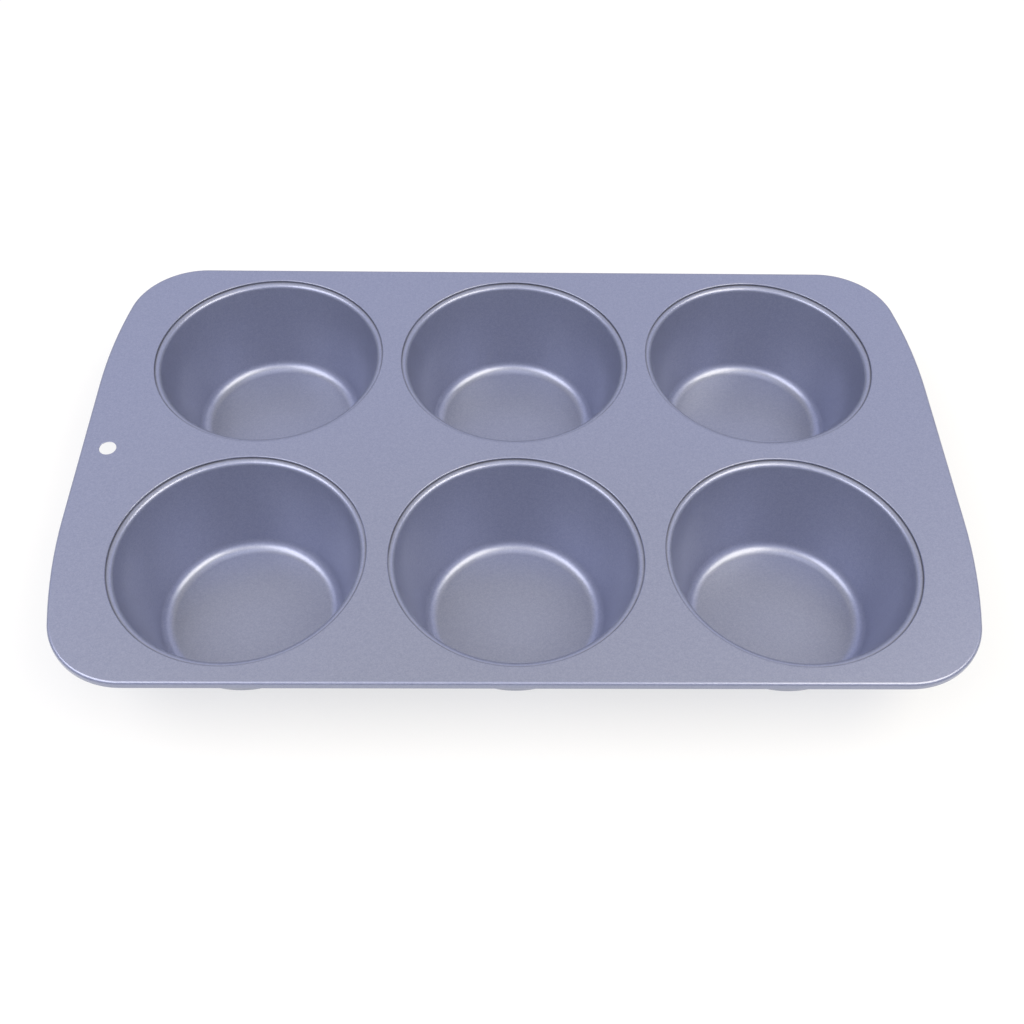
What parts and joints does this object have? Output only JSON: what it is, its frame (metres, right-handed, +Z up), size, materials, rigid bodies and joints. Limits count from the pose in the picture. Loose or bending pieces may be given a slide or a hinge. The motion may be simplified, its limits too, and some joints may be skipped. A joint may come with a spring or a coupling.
{
  "type": "muffin pan",
  "caption": "Coated steel muffin pan: round tapered cups lock-seamed into a flat plate with rolled, wired rim, bowed ends and a hang hole, for baking large muffins.",
  "frame": {"origin": "on the resting plane under the middle of the pan", "axes": "+X along the pan, away from the hang hole; +Y across it; +Z up, out of the cup mouths"},
  "size_m": [0.3452, 0.2144, 0.0416],
  "materials": {
    "coat": "satin silver-lavender non-stick coat with fine metallic flake on steel sheet",
    "wire": "plain drawn flat steel wire with rounded edges"
  },
  "bodies": {
    "root": {"top_plate": "coat", "rim_wire": "wire", "cup_front_left": "coat", "cup_front_center": "coat", "cup_front_right": "coat", "cup_back_left": "coat", "cup_back_center": "coat", "cup_back_right": "coat"}
  },
  "joints": []
}
